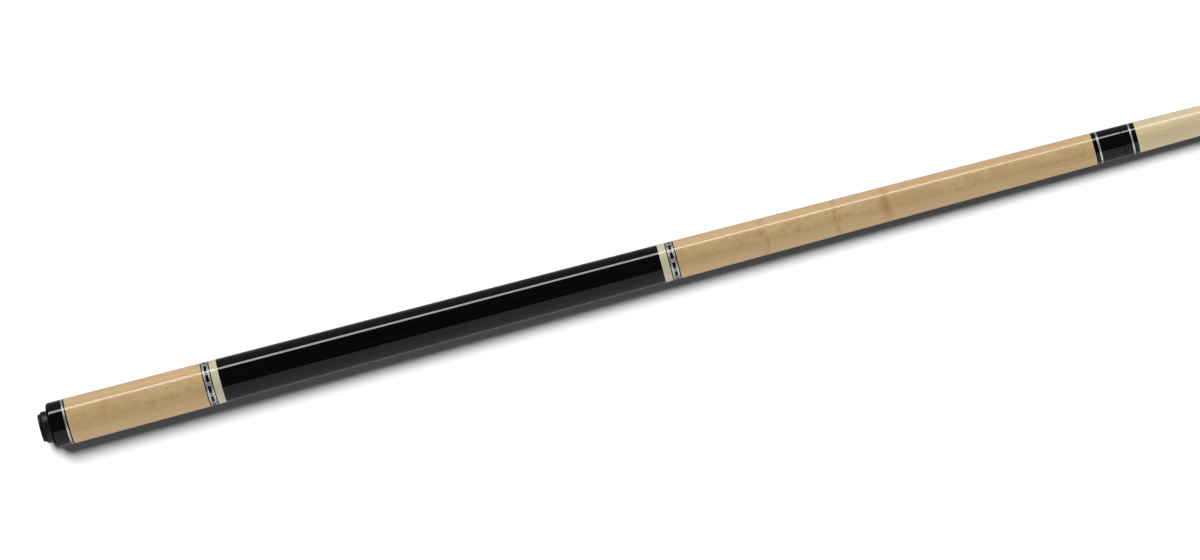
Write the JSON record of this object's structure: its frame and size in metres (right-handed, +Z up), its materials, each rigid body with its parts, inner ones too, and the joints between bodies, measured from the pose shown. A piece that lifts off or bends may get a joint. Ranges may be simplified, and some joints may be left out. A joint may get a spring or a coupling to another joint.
{
  "type": "pool cue",
  "caption": "Two-piece pool cue: a tapered lacquered maple and black butt with ringed bands and rubber bumper, screwed by a steel joint pin to a slim maple shaft with ferrule and leather tip.",
  "frame": {"origin": "centre of the bumper's end face, on the cue's axis", "axes": "+X along the cue from the bumper to the tip, +Z up with the cue lying level, +Y completes a right-handed frame"},
  "size_m": [1.4732, 0.0304, 0.0304],
  "materials": {
    "rubber": "satin moulded rubber",
    "stud_steel": "turned steel",
    "pin_steel": "polished stainless steel",
    "brass": "turned brass",
    "black_resin": "black phenolic resin under clear lacquer",
    "silver": "polished silver ring under clear lacquer",
    "maple": "figured maple with cross flecks, under high-gloss clear lacquer",
    "ivory_resin": "ivory-coloured resin under clear lacquer",
    "ebony": "black wood under high-gloss clear lacquer",
    "shaft_maple": "pale straight-grained maple, satin sealed",
    "ferrule_resin": "white resin",
    "fibre": "black vulcanised fibre",
    "tip_leather": "layered pressed leather"
  },
  "bodies": {
    "butt": {"end_insert": "brass", "weight_bolt": "stud_steel", "butt_cap": "black_resin", "cap_silver_rings": "silver", "cap_black_rings": "black_resin", "butt_sleeve": "maple", "butt_ring_silver": "silver", "butt_ring_black": "black_resin", "butt_ring_band": "black_resin", "butt_ring_bars": "silver", "butt_ivory_ring": "ivory_resin", "handle": "ebony", "handle_screw": "stud_steel", "forearm_ivory_ring": "ivory_resin", "forearm_ring_silver": "silver", "forearm_ring_black": "black_resin", "forearm_ring_band": "black_resin", "forearm_ring_bars": "silver", "forearm": "maple", "joint_black_rings": "black_resin", "joint_silver_rings": "silver", "joint_collar": "black_resin", "joint_pin": "pin_steel"},
    "bumper_carrier": {"bumper_plate": "stud_steel"},
    "bumper": {"bumper": "rubber", "bumper_stud": "stud_steel"},
    "shaft_carrier": {"shaft_silver_rings": "silver"},
    "shaft": {"shaft_collar": "black_resin", "shaft_black_rings": "black_resin", "shaft": "shaft_maple", "shaft_insert": "brass", "ferrule": "ferrule_resin", "tip_pad": "fibre", "tip": "tip_leather"}
  },
  "joints": [
    {"name": "shaft_travel", "type": "slide", "parent": "butt", "child": "shaft_carrier", "axis": [1, 0, 0], "range_m": [0, 0.02177]},
    {"name": "shaft_screw", "type": "hinge", "parent": "shaft_carrier", "child": "shaft", "pos_m": [0.7366, 0, 0], "axis": [1, 0, 0], "range_deg": [0, 4320]},
    {"name": "bumper_travel", "type": "slide", "parent": "butt", "child": "bumper_carrier", "axis": [-1, 0, 0], "range_m": [0, 0.01375]},
    {"name": "bumper_screw", "type": "hinge", "parent": "bumper_carrier", "child": "bumper", "pos_m": [0.0068, 0, 0], "axis": [-1, 0, 0], "range_deg": [0, 3960]}
  ],
  "couplings": [
    {"joint": "shaft_screw", "follows": "shaft_travel", "rad_per_m": 3463.2},
    {"joint": "bumper_screw", "follows": "bumper_travel", "rad_per_m": 5026.5}
  ]
}
